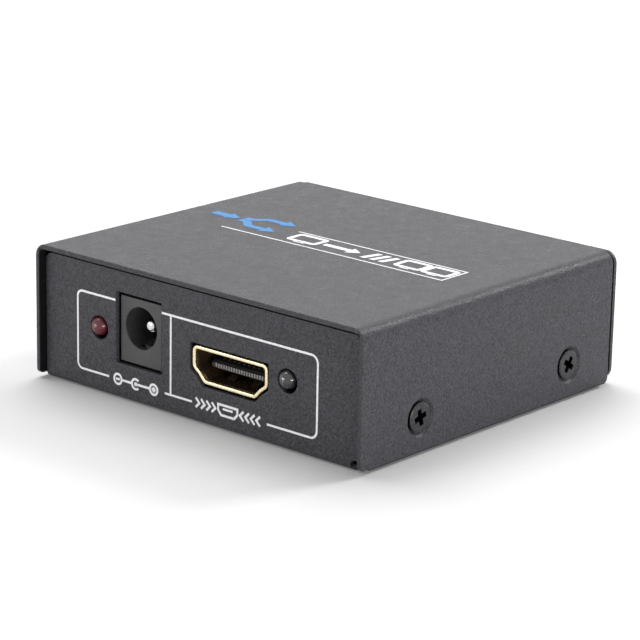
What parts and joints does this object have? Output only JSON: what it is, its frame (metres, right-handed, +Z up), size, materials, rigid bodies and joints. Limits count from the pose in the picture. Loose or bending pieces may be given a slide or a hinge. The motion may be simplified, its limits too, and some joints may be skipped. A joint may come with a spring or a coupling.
{
  "type": "video splitter",
  "caption": "Small flat black metal box with a video input port, power socket and lamps in front, and video outputs behind.",
  "frame": {"origin": "middle of the footprint, on the surface that the case stands on", "axes": "+X to the right along the front panel, +Y from the front panel to the rear panel, +Z up"},
  "size_m": [0.067, 0.0624, 0.0218],
  "materials": {
    "case_paint": "fine-textured black powder coat",
    "screw_black": "black oxide, slightly glossy",
    "gold_plating": "gold flash over steel",
    "black_plastic": "moulded, fine matt",
    "bright_steel": "nickel plated",
    "tinned_copper": "tinned",
    "board_green": "green solder mask",
    "red_epoxy": "clear red epoxy",
    "clear_epoxy": "water-clear epoxy",
    "chip_resin": "moulded chip resin",
    "aluminium_can": "bright aluminium",
    "ferrite": "dark ferrite",
    "ceramic": "fired ceramic",
    "standoff_steel": "zinc plated"
  },
  "bodies": {
    "root": {"board_screws": "bright_steel", "board_standoffs": "standoff_steel", "bottom_tray": "case_paint", "capacitor_bases": "chip_resin", "capacitor_cans": "aluminium_can", "chip_capacitors": "ceramic", "chip_resistors": "chip_resin", "circuit_board": "board_green", "crystal_can": "bright_steel", "crystal_leads": "tinned_copper", "input_contacts": "gold_plating", "input_insulator": "black_plastic", "input_lamp": "clear_epoxy", "input_lamp_leads": "tinned_copper", "input_shell": "gold_plating", "memory_chip": "chip_resin", "memory_chip_leads": "tinned_copper", "output_1_contacts": "gold_plating", "output_1_insulator": "black_plastic", "output_1_shell": "gold_plating", "output_2_contacts": "gold_plating", "output_2_insulator": "black_plastic", "output_2_shell": "gold_plating", "output_lamp_leads": "tinned_copper", "output_lamps": "clear_epoxy", "power_choke": "ferrite", "power_jack_body": "black_plastic", "power_jack_pin": "bright_steel", "power_jack_spring": "bright_steel", "power_jack_terminals": "tinned_copper", "power_lamp": "red_epoxy", "power_lamp_leads": "tinned_copper", "protection_diode": "chip_resin", "regulator_leads": "tinned_copper", "side_screws": "screw_black", "splitter_chip": "chip_resin", "splitter_chip_leads": "tinned_copper", "surge_arrays": "chip_resin", "top_cover": "case_paint", "voltage_regulators": "chip_resin"}
  },
  "joints": []
}
